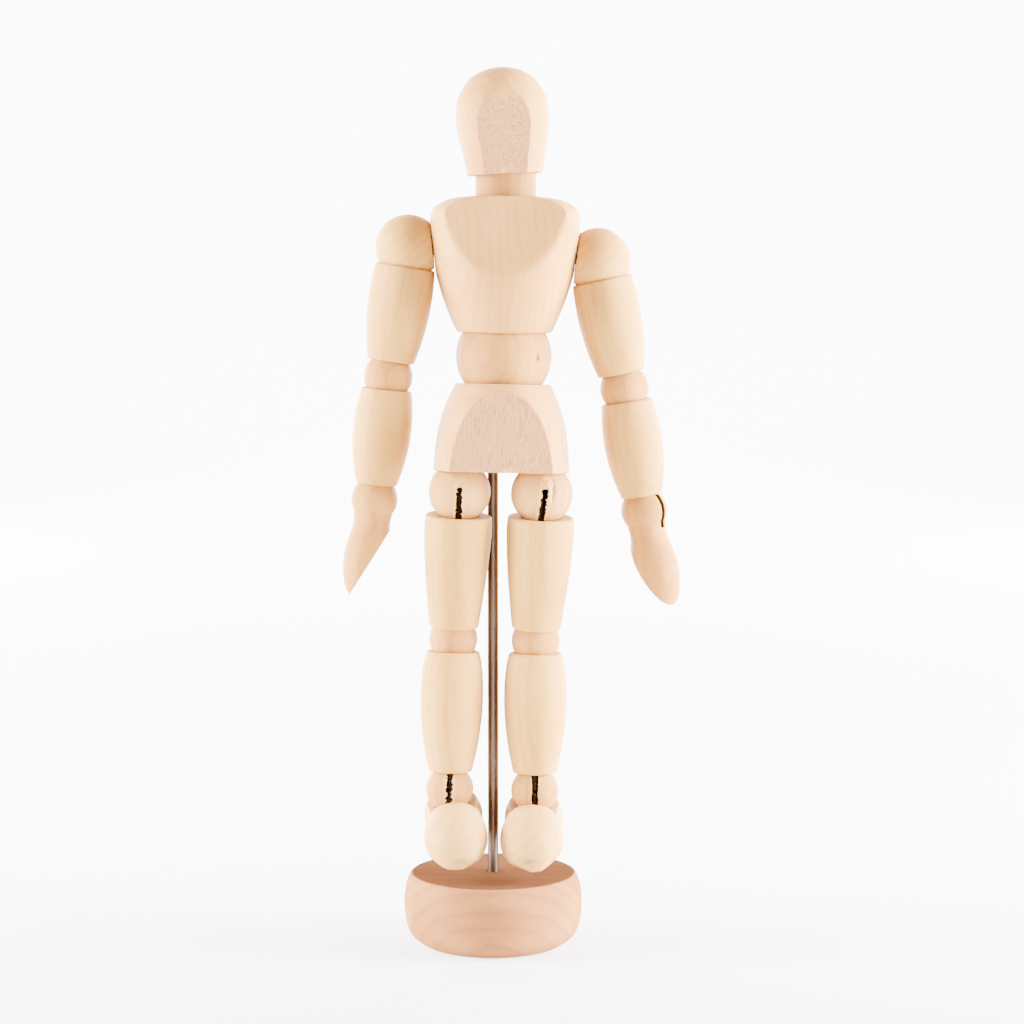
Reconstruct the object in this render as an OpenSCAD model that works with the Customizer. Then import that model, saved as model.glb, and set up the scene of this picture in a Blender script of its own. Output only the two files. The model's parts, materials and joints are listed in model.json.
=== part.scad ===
// Jointed wooden artist mannequin on a round base.
// The figure faces -Y and +X is its own left. The origin is the centre of the
// base's underside, under the rod. The pieces are drawn in the stored pose:
// standing, arms hanging a little away from the body, toes down over the base.

/* [Base and rod] */
// Widest radius of the base
base_r = 20.5; // [18:0.1:24]
// Height of the base
base_h = 16.5; // [12:0.1:20]
// Diameter of the steel rod
rod_d = 2.4; // [1.8:0.1:2.6]
// Height of the rod's top end above the table
rod_top = 118; // [114:0.5:119]

/* [Head and neck] */
// Widest radius of the egg-shaped head
head_r = 10.5; // [9:0.1:12]
// Height of the head
head_h = 24; // [20:0.1:27]
// Radius of the neck piece
neck_r = 6.85; // [5.5:0.05:7]

/* [Torso] */
// Widest radius of the turned chest
chest_r = 17.2; // [15:0.1:18]
// Radius of the waist ball
waist_r = 10.8; // [9:0.1:11]
// Radius of the pelvis at its lower edge
pelvis_r = 15.35; // [13:0.1:17]
// Height of the pelvis
pelvis_h = 19.8; // [17:0.1:22]

/* [Arms] */
// Radius of the shoulder caps
cap_r = 7.4; // [6.6:0.1:8]
// Length of an upper arm
upper_arm_len = 21.6; // [18:0.1:24]
// Radius of the elbow balls
elbow_r = 5.5; // [5:0.1:6]
// Length of a forearm
forearm_len = 21.8; // [18:0.1:24]
// Radius of the ball on top of each hand
wrist_r = 5.25; // [4.9:0.05:5.5]
// Length of a hand below the centre of its ball
hand_len = 23.7; // [20:0.1:27]

/* [Legs] */
// Radius of the hip balls
hip_r = 7; // [6:0.1:7.4]
// Length of a thigh
thigh_len = 25.8; // [22:0.1:30]
// Radius of the knee balls
knee_r = 5.5; // [5:0.05:6]
// Length of a calf
calf_len = 27.6; // [24:0.1:31]
// Radius of the ankle balls
ankle_r = 5.4; // [4.8:0.1:5.8]
// Length of a foot in front of the ankle
toe_len = 17.5; // [14:0.1:19]

/* [Springs and pins] */
// Outer radius of the tension springs
spring_r = 1.4; // [1.2:0.1:1.6]
// Wire thickness of the springs
wire_d = 0.45; // [0.3:0.05:0.6]
// Radius of the steel cross pins
pin_r = 0.6; // [0.4:0.05:0.8]
// Radius of the bores that the springs run in
bore_r = 1.9; // [1.8:0.1:2.2]
// Width of the slots that let a spring bend out of its ball
slot_w = 1.25; // [1:0.05:1.6]
// Gap between a ball and the cup that holds it
ball_gap = 0.15; // [0.1:0.05:0.3]

/* [Pose, in degrees] */
// Pelvis leaning back
pelvis_lean = 3.5; // [0:0.5:5]
// Pelvis leaning to the figure's left
pelvis_roll = 1.3; // [0:0.1:2]
// Chest leaning forward of the pelvis
chest_lean = 2.5; // [0:0.5:8]
// Chest leaning back to the figure's right
chest_roll = 0.6; // [0:0.1:2]
// Head turned to its left
head_turn = 2; // [0:0.5:10]
// Head leaning to its right
head_roll = 3.5; // [0:0.5:6]
// Right upper arm held out
right_arm_out = 8.3; // [4:0.1:20]
// Left upper arm held out
left_arm_out = 12.5; // [4:0.1:20]
// Forearms turned in at the elbow
forearm_in = 2.4; // [0:0.1:10]
// Left hand turned out
left_hand_turn = 35; // [0:1:60]
// Thighs swung back under the pelvis
thigh_back = 7; // [4:0.5:8]
// Calves swung forward again
calf_forward = 6; // [0:0.5:8]
// Toes pointing down
toe_droop = 20; // [10:0.5:22]

/* [Hidden] */

RIGHT = 0;
LEFT = 1;
// Sign of X on each side
side_x = [-1, 1];

wood = [0.93, 0.84, 0.71];
base_wood = [0.86, 0.70, 0.58];
steel = [0.55, 0.53, 0.50];
dark_steel = [0.25, 0.23, 0.21];

// --- Where the joints are -------------------------------------------------

// Pelvis: centre of its underside, in front of the rod
pelvis_x = 1.9;
pelvis_y = -3.8;
pelvis_z = 109.3;
// Waist ball's centre above the pelvis's underside
waist_rise = pelvis_h + 6.3;
// Everything on the chest is measured from the waist ball's centre
chest_bottom = 5.3;
chest_top = 35.9;
neck_rise = chest_top + 2.4;
// Shoulder cap centres; the left one hangs lower on its spring
shoulder_out = [21.8, 21];
shoulder_rise = [24.2, 21.7];
// Flats on the chest's sides, which lean out at the top
side_flat_lean = 6;
side_flat_out = 16.1;
side_flat_rise = 23;
// The neck piece's domes, and the head's underside above their centre
neck_ball_r = 7.35;
head_rise = 2.5;
// Distance from a ball's centre to the rims of the cups around it
arm_rim = 4.3;
elbow_rim = 3.45;
forearm_rim = 2.9;
wrist_rim = 3.3;
hip_rim = 5.3;
knee_rim = 2.8;
ankle_rim = 4;
// Hip balls' centres on the pelvis
hip_out = 9.3;
hip_forward = 0.7;
hip_drop = 4.7;
// Distance from one joint to the next down a limb
elbow_reach = arm_rim + upper_arm_len + elbow_rim;
wrist_reach = forearm_rim + forearm_len + wrist_rim;
knee_reach = hip_rim + thigh_len + knee_rim;
ankle_reach = knee_rim + calf_len + ankle_rim;
// Pins' distance from the centre of the ball whose spring they hold
neck_pin = 10.5;
waist_pin = 14.5;
elbow_pin = 10;
wrist_pin = 9.5;
hand_pin_drop = 7.5;
hip_pin_rise = 12;
hip_pin_drop = 12.5;
knee_pin = 9.8;
ankle_pin = 11;
foot_pin_drop = 8;

// Pose angles of the two arms and legs, right side first
arm_out = [right_arm_out, left_arm_out];
hand_out = [0, 0.8];
hand_turn = [0, left_hand_turn];
thigh_out = [1.3, -1];
calf_out = [-1.2, 2];
toe_in = [1.5, 2];
foot_tuck = [9, 2.5];

// --- Frames: each is a 4 x 4 matrix, from the piece's own axes to the whole --

function shift(v) = [[1, 0, 0, v[0]], [0, 1, 0, v[1]], [0, 0, 1, v[2]], [0, 0, 0, 1]];
function turn_x(a) = [[1, 0, 0, 0], [0, cos(a), -sin(a), 0], [0, sin(a), cos(a), 0], [0, 0, 0, 1]];
function turn_y(a) = [[cos(a), 0, sin(a), 0], [0, 1, 0, 0], [-sin(a), 0, cos(a), 0], [0, 0, 0, 1]];
function turn_z(a) = [[cos(a), -sin(a), 0, 0], [sin(a), cos(a), 0, 0], [0, 0, 1, 0], [0, 0, 0, 1]];

pelvis_at = shift([pelvis_x, pelvis_y, pelvis_z]) * turn_y(pelvis_roll) * turn_x(-pelvis_lean);
waist_at = pelvis_at * shift([0, 0, waist_rise]);
chest_at = waist_at * turn_y(-chest_roll) * turn_x(chest_lean);
neck_at = chest_at * shift([0, 0, neck_rise]);
head_at = neck_at * turn_z(head_turn) * turn_y(-head_roll);

function cap_at(side) = chest_at * shift([side_x[side] * shoulder_out[side], 0, shoulder_rise[side]]);
function upper_arm_at(side) = cap_at(side) * turn_y(-side_x[side] * arm_out[side]);
function elbow_at(side) = upper_arm_at(side) * shift([0, 0, -elbow_reach]);
function forearm_at(side) = elbow_at(side) * turn_y(side_x[side] * forearm_in);
function wrist_at(side) = forearm_at(side) * shift([0, 0, -wrist_reach]);
function hand_at(side) =
    wrist_at(side) * turn_y(-side_x[side] * hand_out[side]) * turn_z(-side_x[side] * hand_turn[side]);

function hip_at(side) = pelvis_at * shift([side_x[side] * hip_out, -hip_forward, -hip_drop]);
function thigh_at(side) = hip_at(side) * turn_y(-side_x[side] * thigh_out[side]) * turn_x(thigh_back);
function knee_at(side) = thigh_at(side) * shift([0, 0, -knee_reach]);
function calf_at(side) = knee_at(side) * turn_y(-side_x[side] * calf_out[side]) * turn_x(-calf_forward);
function ankle_at(side) = calf_at(side) * shift([0, 0, -ankle_reach]);
function foot_at(side) =
    ankle_at(side) * turn_y(side_x[side] * foot_tuck[side]) * turn_z(-side_x[side] * toe_in[side])
    * turn_x(toe_droop);

// --- Turned outlines --------------------------------------------------------

// Smooth curve through a few points, with steps pieces between each two
function between(a, b, c, d, t) =
    0.5 * (2 * b + (c - a) * t + (2 * a - 5 * b + 4 * c - d) * t * t + (3 * b - a - 3 * c + d) * t * t * t);
function smooth(p, steps = 3) =
    [for (i = [0 : len(p) - 2], k = [0 : steps - 1])
        between(p[max(i - 1, 0)], p[i], p[i + 1], p[min(i + 2, len(p) - 1)], k / steps),
     p[len(p) - 1]];

module turned(outline) {
    rotate_extrude($fn = 96) polygon(outline);
}

// A limb hangs from z = 0. Its radius runs from top_r to low_r with a swell
// between them, and both edges are broken a little.
module limb(length, top_r, low_r, swell, skew = 1) {
    edge = 0.35;
    steps = 12;
    flank = [for (k = [0 : steps])
        let (t = k / steps, u = pow(t, skew))
        [top_r + (low_r - top_r) * t + 4 * swell * u * (1 - u), -edge - (length - 2 * edge) * t]];
    turned(concat([[0, 0], [top_r - edge, 0]], flank, [[low_r - edge, -length], [0, -length]]));
}

// Cup for a ball whose centre is here
module cup(r) {
    sphere(r = r + ball_gap, $fn = 96);
}

// Bore along Z between two heights
module bore(z1, z2, r = bore_r) {
    translate([0, 0, min(z1, z2)]) cylinder(r = r, h = abs(z2 - z1), $fn = 48);
}

// Ball with a bore that widens towards both ends, where the spring bends
module bored_ball(r, widening = 0.9) {
    difference() {
        sphere(r = r, $fn = 96);
        bore(-r - 1, r + 1);
        for (m = [0, 1]) mirror([0, 0, m])
            translate([0, 0, 1]) cylinder(r1 = bore_r, r2 = bore_r + widening, h = r - 1 + 0.01, $fn = 48);
    }
}

// Slot from the axis out along -Y, between two heights
module front_slot(z1, z2, reach = 12) {
    translate([-slot_w / 2, -reach, z1]) cube([slot_w, reach, z2 - z1]);
}

// Everything in front of a plane that crosses the Y axis at -y and the given
// height, and leans back by lean degrees above it
module front_of(y, z, lean) {
    translate([0, -y, z]) rotate([-lean, 0, 0]) translate([-40, -80, -60]) cube([80, 80, 120]);
}

// Cross pin along Y at height z, driven in from the back
module pin(z, back, ahead = 3.2, x = 0) {
    translate([x, -ahead, z]) rotate([-90, 0, 0]) cylinder(r = pin_r, h = ahead + back, $fn = 32);
}

// --- Springs ------------------------------------------------------------------

// Close-wound turns between two heights, and the loop and straight shank that
// hook them to a pin at height z
loop_r = spring_r - 0.27;
shank = 1.6;
module coil(z1, z2) {
    turns = floor((z2 - z1) / wire_d);
    step = (z2 - z1) / turns;
    inner_r = spring_r - wire_d - 0.1;
    ridge = [for (k = [1 : turns - 1], p = [[0.1, 0], [0, 0.35], [0, 0.65], [0.1, 1]])
        [spring_r - p[0], z1 + (k + p[1]) * step]];
    turned(concat([[inner_r, z1], [spring_r - 0.1, z1]], ridge, [[inner_r, z2]]));
}
module end_loop(z, y = 0) {
    translate([0, y, z]) rotate([90, 0, 0]) rotate_extrude($fn = 48)
        translate([loop_r, 0]) circle(d = wire_d, $fn = 16);
    translate([loop_r, y, z - shank - 0.2]) cylinder(d = 0.7 * wire_d, h = shank + 0.2, $fn = 16);
}
bend_gap = 0.3;
module half_spring(pin_at, y = 0) {
    end_loop(pin_at, y);
    coil(bend_gap, pin_at - shank);
}
// The slimmer turns that the two halves share where the spring bends
module bend_turns() {
    turned([[1, -0.7], [1.2, -0.7], [1.2, 0.7], [1, 0.7]]);
}
module spring(up_frame, up, down_frame, down, y = 0) {
    color(dark_steel) {
        multmatrix(up_frame) {
            half_spring(up, y);
            bend_turns();
        }
        multmatrix(down_frame) mirror([0, 0, 1]) half_spring(down);
    }
}

// --- Base and rod --------------------------------------------------------------

foot_ring_r = 0.77 * base_r;
rod_seat = 2;
module base() {
    outline = smooth([[foot_ring_r, 0], [0.91 * base_r, 0.12 * base_h], [0.975 * base_r, 0.3 * base_h],
                      [base_r, 0.55 * base_h], [0.985 * base_r, 0.79 * base_h],
                      [0.945 * base_r, 0.95 * base_h], [0.91 * base_r, base_h]]);
    color(base_wood) difference() {
        turned(concat([[0, 0]], outline, [[0, base_h]]));
        bore(rod_seat, base_h + 1, rod_d / 2);
    }
}
module rod() {
    color(steel) translate([0, 0, rod_seat]) cylinder(d = rod_d, h = rod_top - rod_seat, $fn = 48);
}

// --- Torso ------------------------------------------------------------------------

rod_clearance = 0.06;
module pelvis() {
    top_r = waist_r + 0.1;
    outline = smooth([[pelvis_r - 0.4, 0], [pelvis_r, 0.5], [0.99 * pelvis_r, 0.17 * pelvis_h],
                      [0.965 * pelvis_r, 0.36 * pelvis_h], [0.92 * pelvis_r, 0.56 * pelvis_h],
                      [0.83 * pelvis_r, 0.78 * pelvis_h], [top_r, pelvis_h - 0.4],
                      [top_r - 0.4, pelvis_h]]);
    color(wood) difference() {
        multmatrix(pelvis_at) difference() {
            turned(concat([[0, 0]], outline, [[0, pelvis_h]]));
            front_of(11.4, 0.88 * pelvis_h, -4.6);
            rotate([0, 0, 180]) front_of(12.6, 0.5 * pelvis_h, -2);
            translate([0, 0, waist_rise]) cup(waist_r);
            bore(waist_rise - waist_pin - 2, waist_rise);
            pin(waist_rise - waist_pin, 20);
            for (side = [RIGHT, LEFT]) translate([side_x[side] * hip_out, -hip_forward, -hip_drop]) {
                cup(hip_r);
                bore(0, hip_pin_rise + 2);
                pin(hip_pin_rise, 20);
            }
        }
        bore(pelvis_z - 2, rod_top + 0.1, rod_d / 2 + rod_clearance);
    }
}
module waist_ball() {
    color(wood) multmatrix(waist_at) bored_ball(waist_r);
}
module chest() {
    low_r = waist_r + 0.2;
    outline = smooth([[low_r - 0.5, chest_bottom], [low_r, chest_bottom + 0.5], [0.74 * chest_r, 9.8],
                      [0.82 * chest_r, 13.4], [0.89 * chest_r, 17.5], [0.955 * chest_r, 22],
                      [0.995 * chest_r, 27], [0.99 * chest_r, 30.7], [0.935 * chest_r, 33.2],
                      [0.73 * chest_r, 35.2], [0.42 * chest_r, chest_top]]);
    color(wood) multmatrix(chest_at) difference() {
        turned(concat([[0, chest_bottom]], outline, [[0, chest_top]]));
        front_of(15.3, 18.9, 22);
        rotate([0, 0, 180]) front_of(14, 16, 9);
        for (m = [0, 1]) mirror([m, 0, 0])
            translate([side_flat_out, 0, side_flat_rise]) rotate([0, side_flat_lean, 0])
                translate([0, -30, -30]) cube([20, 60, 60]);
        cup(waist_r);
        translate([0, 0, neck_rise]) cup(neck_ball_r);
        bore(0, waist_pin + 2);
        bore(neck_rise - neck_pin - 2, neck_rise);
        pin(waist_pin, 20);
        pin(neck_rise - neck_pin, 20);
        translate([0, 0, (shoulder_rise[RIGHT] + shoulder_rise[LEFT]) / 2]) rotate([0, 90, 0])
            cylinder(r = bore_r + 0.5, h = 60, center = true, $fn = 48);
    }
}
module neck() {
    color(wood) multmatrix(neck_at) intersection() {
        bored_ball(neck_ball_r);
        cylinder(r = neck_r, h = 30, center = true, $fn = 96);
    }
}
module head() {
    outline = smooth([[0.79 * head_r, 0], [0.82 * head_r, 0.35], [0.88 * head_r, 0.18 * head_h],
                      [0.945 * head_r, 0.32 * head_h], [0.99 * head_r, 0.45 * head_h],
                      [head_r, 0.58 * head_h], [0.945 * head_r, 0.71 * head_h],
                      [0.78 * head_r, 0.845 * head_h], [0.6 * head_r, 0.92 * head_h],
                      [0.33 * head_r, 0.977 * head_h], [0, head_h]]);
    color(wood) multmatrix(head_at) difference() {
        translate([0, 0, head_rise]) turned(concat([[0, 0]], outline));
        front_of(9.2, head_rise + 0.5 * head_h, 0);
        front_of(8.7, head_rise + 0.5 * head_h, -7.4);
        cup(neck_ball_r);
        bore(0, neck_pin + 2);
        pin(neck_pin, 20);
    }
}

// --- Arms ---------------------------------------------------------------------------

// The chest's side flat, seen from a cap's centre
module beyond_side_flat(side) {
    out = side_flat_out - shoulder_out[side] + 2 * ball_gap;
    mirror([side_x[side] > 0 ? 0 : 1, 0, 0])
        translate([out, 0, side_flat_rise - shoulder_rise[side]])
            rotate([0, side_flat_lean, 0]) translate([-20, -20, -20]) cube([20, 40, 40]);
}
module shoulder_cap(side) {
    color(wood) multmatrix(cap_at(side)) difference() {
        sphere(r = cap_r, $fn = 96);
        beyond_side_flat(side);
        rotate([0, -90 * side_x[side], 0]) bore(0, 12, bore_r + 0.4);
        rotate([0, -side_x[side] * arm_out[side], 0]) {
            bore(-12, 0);
            rotate([0, 0, 90 * side_x[side]]) front_slot(-12, 0);
        }
        sphere(r = bore_r + 0.4, $fn = 48);
        pin(0, 12);
    }
}
module upper_arm(side) {
    color(wood) multmatrix(upper_arm_at(side)) difference() {
        translate([0, 0, -arm_rim]) limb(upper_arm_len, 6.8, 5.4, 0.95);
        cup(cap_r);
        translate([0, 0, -elbow_reach]) cup(elbow_r);
        bore(-elbow_reach, 0);
    }
}
module elbow(side) {
    color(wood) multmatrix(elbow_at(side)) bored_ball(elbow_r);
}
module forearm(side) {
    color(wood) multmatrix(forearm_at(side)) difference() {
        translate([0, 0, -forearm_rim]) limb(forearm_len, 5.75, 4.7, 1.35);
        cup(elbow_r);
        translate([0, 0, -wrist_reach]) cup(wrist_r);
        bore(-elbow_pin - 2, 0);
        bore(-wrist_reach, wrist_pin + 2 - wrist_reach);
        pin(-elbow_pin, 12);
        pin(wrist_pin - wrist_reach, 12);
    }
}
// The palm is a slanting flat on the side towards the body
module hand(side) {
    paddle = smooth([[4.4, -3.2], [4.15, -5.8], [4.85, -9], [5.5, -13], [5.25, -17.5], [4.1, -21.2],
                     [2, -hand_len + 0.4], [0, -hand_len]]);
    color(wood) multmatrix(hand_at(side)) mirror([side_x[side] > 0 ? 0 : 1, 0, 0]) difference() {
        union() {
            sphere(r = wrist_r, $fn = 96);
            turned(concat([[0, -3.2]], paddle));
        }
        translate([-3.2, 0, -9]) rotate([0, -26, 0]) translate([-40, -20, -40]) cube([40, 40, 80]);
        bore(-hand_pin_drop - 2, 12);
        rotate([0, 0, 90]) front_slot(-wrist_r + 0.8, 12);
        pin(-hand_pin_drop, 12, 2.6);
    }
}

// --- Legs ---------------------------------------------------------------------------

module hip_ball(side) {
    color(wood) multmatrix(hip_at(side)) difference() {
        bored_ball(hip_r);
        front_slot(-12, 1.2);
    }
}
// The dished top of a thigh or calf, from its rim down to the cup
module dish(r) {
    translate([0, 0, -0.7]) cylinder(r1 = 0, r2 = r, h = 0.7 + 0.01, $fn = 96);
}
module thigh(side) {
    color(wood) multmatrix(thigh_at(side)) difference() {
        translate([0, 0, -hip_rim]) difference() {
            limb(thigh_len, 7.5, 5.6, 0.55, 0.7);
            dish(7);
        }
        cup(hip_r);
        translate([0, 0, -knee_reach]) cup(knee_r);
        bore(-hip_pin_drop - 2, 0);
        bore(-knee_reach, knee_pin + 2 - knee_reach);
        pin(-hip_pin_drop, 12);
        pin(knee_pin - knee_reach, 12);
    }
}
module knee(side) {
    color(wood) multmatrix(knee_at(side)) bored_ball(knee_r);
}
module calf(side) {
    color(wood) multmatrix(calf_at(side)) difference() {
        translate([0, 0, -knee_rim]) limb(calf_len, 6.1, 5, 1.5, 0.9);
        cup(knee_r);
        translate([0, 0, -ankle_reach]) cup(ankle_r);
        bore(-knee_pin - 2, 0);
        bore(-ankle_reach, ankle_pin + 2 - ankle_reach);
        pin(-knee_pin, 12);
        pin(ankle_pin - ankle_reach, 12);
    }
}
module ankle_ball(side) {
    color(wood) multmatrix(ankle_at(side)) difference() {
        bored_ball(ankle_r, 1.9);
        front_slot(-12, 12);
    }
}
// A foot is turned about an axis that runs heel to toe below the ankle, then
// cut flat on its sole and under the ankle.
heel_len = 7;
foot_axis_drop = 7.4;
module foot(side) {
    side_line = smooth([[0, heel_len], [3.6, heel_len - 0.7], [6, heel_len - 3.1], [6.7, heel_len - 5.8],
                        [6.4, -3.5], [7.2, -8.7], [6.75, -12.7],
                        [4.6, -toe_len + 1.5], [2, -toe_len + 0.3], [0, -toe_len]]);
    color(wood) multmatrix(foot_at(side)) difference() {
        translate([0, 0, -foot_axis_drop]) rotate([-90, 0, 0]) turned(side_line);
        translate([-20, -20, -foot_axis_drop - 5.6 - 20]) cube([40, 40, 20]);
        translate([-20, -4.6, -3.7]) cube([40, 30, 20]);
        cup(ankle_r);
        bore(-foot_pin_drop - 2, 0);
        pin(-foot_pin_drop, 12, 2.6);
    }
}

// --- Springs in place ----------------------------------------------------------------

module neck_spring() {
    spring(head_at, neck_pin, neck_at, neck_pin);
}
module waist_spring() {
    spring(chest_at, waist_pin, waist_at, waist_pin);
}
// Runs across the chest from one shoulder pin to the other
module shoulder_spring() {
    across = shoulder_out[RIGHT] + shoulder_out[LEFT];
    rise = shoulder_rise[LEFT] - shoulder_rise[RIGHT];
    long = norm([across, rise]);
    color(dark_steel) multmatrix(cap_at(RIGHT)) rotate([0, 90 - atan2(rise, across), 0]) {
        mirror([0, 0, 1]) end_loop(0, -0.5);
        end_loop(long, -0.5);
        coil(shank, long - shank);
    }
}
module arm_spring(side) {
    spring(elbow_at(side), elbow_reach, forearm_at(side), elbow_pin, 0.5);
}
module wrist_spring(side) {
    spring(wrist_at(side), wrist_pin, hand_at(side), hand_pin_drop);
}
module hip_spring(side) {
    spring(hip_at(side), hip_pin_rise, thigh_at(side), hip_pin_drop);
}
module knee_spring(side) {
    spring(knee_at(side), knee_pin, calf_at(side), knee_pin);
}
module ankle_spring(side) {
    spring(ankle_at(side), ankle_pin, foot_at(side), foot_pin_drop);
}

// --- Cross pins in place ----------------------------------------------------------------

module head_pin() {
    color(steel) multmatrix(head_at) pin(neck_pin, 9.5);
}
module chest_pins() {
    color(steel) multmatrix(chest_at) {
        pin(waist_pin, 12);
        pin(neck_rise - neck_pin, 12);
    }
}
module pelvis_pins() {
    color(steel) multmatrix(pelvis_at) {
        pin(waist_rise - waist_pin, 11);
        for (side = [RIGHT, LEFT]) translate([side_x[side] * hip_out, -hip_forward, 0])
            pin(hip_pin_rise - hip_drop, 8);
    }
}
module shoulder_pin(side) {
    color(steel) multmatrix(cap_at(side)) pin(0, cap_r - 0.2);
}
module forearm_pins(side) {
    color(steel) multmatrix(forearm_at(side)) {
        pin(-elbow_pin, 6);
        pin(wrist_pin - wrist_reach, 5.6);
    }
}
module hand_pin(side) {
    color(steel) multmatrix(hand_at(side)) pin(-hand_pin_drop, 3.9, 2.6);
}
module thigh_pins(side) {
    color(steel) multmatrix(thigh_at(side)) {
        pin(-hip_pin_drop, 7.5);
        pin(knee_pin - knee_reach, 6.6);
    }
}
module calf_pins(side) {
    color(steel) multmatrix(calf_at(side)) {
        pin(-knee_pin, 6.8);
        pin(ankle_pin - ankle_reach, 5.8);
    }
}
module foot_pin(side) {
    color(steel) multmatrix(foot_at(side)) pin(-foot_pin_drop, 6, 2.6);
}

base();
rod();
pelvis();
waist_ball();
chest();
neck();
head();
shoulder_cap(RIGHT);  // right_shoulder_cap
upper_arm(RIGHT);  // right_upper_arm
elbow(RIGHT);  // right_elbow
forearm(RIGHT);  // right_forearm
hand(RIGHT);  // right_hand
shoulder_cap(LEFT);  // left_shoulder_cap
upper_arm(LEFT);  // left_upper_arm
elbow(LEFT);  // left_elbow
forearm(LEFT);  // left_forearm
hand(LEFT);  // left_hand
hip_ball(RIGHT);  // right_hip_ball
thigh(RIGHT);  // right_thigh
knee(RIGHT);  // right_knee
calf(RIGHT);  // right_calf
ankle_ball(RIGHT);  // right_ankle_ball
foot(RIGHT);  // right_foot
hip_ball(LEFT);  // left_hip_ball
thigh(LEFT);  // left_thigh
knee(LEFT);  // left_knee
calf(LEFT);  // left_calf
ankle_ball(LEFT);  // left_ankle_ball
foot(LEFT);  // left_foot
neck_spring();
waist_spring();
shoulder_spring();
arm_spring(RIGHT);  // right_arm_spring
wrist_spring(RIGHT);  // right_wrist_spring
arm_spring(LEFT);  // left_arm_spring
wrist_spring(LEFT);  // left_wrist_spring
hip_spring(RIGHT);  // right_hip_spring
knee_spring(RIGHT);  // right_knee_spring
ankle_spring(RIGHT);  // right_ankle_spring
hip_spring(LEFT);  // left_hip_spring
knee_spring(LEFT);  // left_knee_spring
ankle_spring(LEFT);  // left_ankle_spring
head_pin();
chest_pins();
pelvis_pins();
shoulder_pin(RIGHT);  // right_shoulder_pin
forearm_pins(RIGHT);  // right_forearm_pins
hand_pin(RIGHT);  // right_hand_pin
shoulder_pin(LEFT);  // left_shoulder_pin
forearm_pins(LEFT);  // left_forearm_pins
hand_pin(LEFT);  // left_hand_pin
thigh_pins(RIGHT);  // right_thigh_pins
calf_pins(RIGHT);  // right_calf_pins
foot_pin(RIGHT);  // right_foot_pin
thigh_pins(LEFT);  // left_thigh_pins
calf_pins(LEFT);  // left_calf_pins
foot_pin(LEFT);  // left_foot_pin
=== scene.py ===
"""Looks of a wooden artist mannequin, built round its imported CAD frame."""
import json
import math
from collections import namedtuple
from types import SimpleNamespace

import bpy
import numpy as np
from mathutils import Matrix, Vector, noise
from mathutils.bvhtree import BVHTree


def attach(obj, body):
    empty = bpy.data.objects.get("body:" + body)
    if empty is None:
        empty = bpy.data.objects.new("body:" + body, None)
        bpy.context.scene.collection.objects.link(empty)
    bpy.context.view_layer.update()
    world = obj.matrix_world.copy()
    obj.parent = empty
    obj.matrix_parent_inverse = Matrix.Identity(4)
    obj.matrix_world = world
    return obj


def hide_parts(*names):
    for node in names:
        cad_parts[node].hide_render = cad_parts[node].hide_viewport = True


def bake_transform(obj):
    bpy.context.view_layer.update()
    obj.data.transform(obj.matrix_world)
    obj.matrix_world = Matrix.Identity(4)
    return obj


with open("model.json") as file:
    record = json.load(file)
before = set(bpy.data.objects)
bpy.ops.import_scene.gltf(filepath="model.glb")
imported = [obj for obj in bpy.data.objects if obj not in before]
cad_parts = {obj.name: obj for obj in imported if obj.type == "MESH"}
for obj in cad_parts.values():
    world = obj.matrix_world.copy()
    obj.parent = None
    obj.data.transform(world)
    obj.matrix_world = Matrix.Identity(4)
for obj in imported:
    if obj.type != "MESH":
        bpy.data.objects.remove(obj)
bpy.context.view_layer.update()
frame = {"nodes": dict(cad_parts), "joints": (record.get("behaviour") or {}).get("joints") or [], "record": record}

MM = 0.001
UP = Vector((0, 0, 1))
SIDES = ("right", "left")
JOINTS = {joint["name"]: joint for joint in frame["joints"]}
NODE_BODY = {
    node: body
    for body, nodes in frame["record"]["behaviour"]["bodies"].items()
    for node in nodes
}
# The feet hang with their toes down
TOES_DOWN = Matrix.Rotation(math.radians(20), 3, "X")
LIMB_JOINTS = {
    "shoulder": "arm_out",
    "elbow": "elbow_bend",
    "wrist": "wrist_bend",
    "hip": "hip_swing",
    "knee": "knee_bend",
    "ankle": "foot_tilt",
}


def centre_of(joint):
    """A joint's centre in mm."""
    return Vector(JOINTS[joint]["pos_m"]) / MM


def axis_of(joint):
    return Vector(JOINTS[joint]["axis"]).normalized()


def limbs(side):
    """The centres of a side's joints in mm, and the directions of its bones."""
    at = SimpleNamespace(**{name: centre_of(f"{side}_{joint}") for name, joint in LIMB_JOINTS.items()})
    at.arm = (at.elbow - at.shoulder).normalized()
    at.forearm = (at.wrist - at.elbow).normalized()
    at.thigh = (at.knee - at.hip).normalized()
    at.calf = (at.ankle - at.knee).normalized()
    return at


# --- Which way each piece's grain runs -------------------------------------------------

BASE_HEART = Vector((0, 0, 8))
BASE_GRAIN = Vector((1, 0, 0))
CAP_GRAIN = Vector((0.25, 1, 0.2)).normalized()


def upright(joint):
    """The axis square to a sideways hinge and to the Y axis, pointing up."""
    up = axis_of(joint).cross(Vector((0, 1, 0))).normalized()
    return up if up.z > 0 else -up


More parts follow.
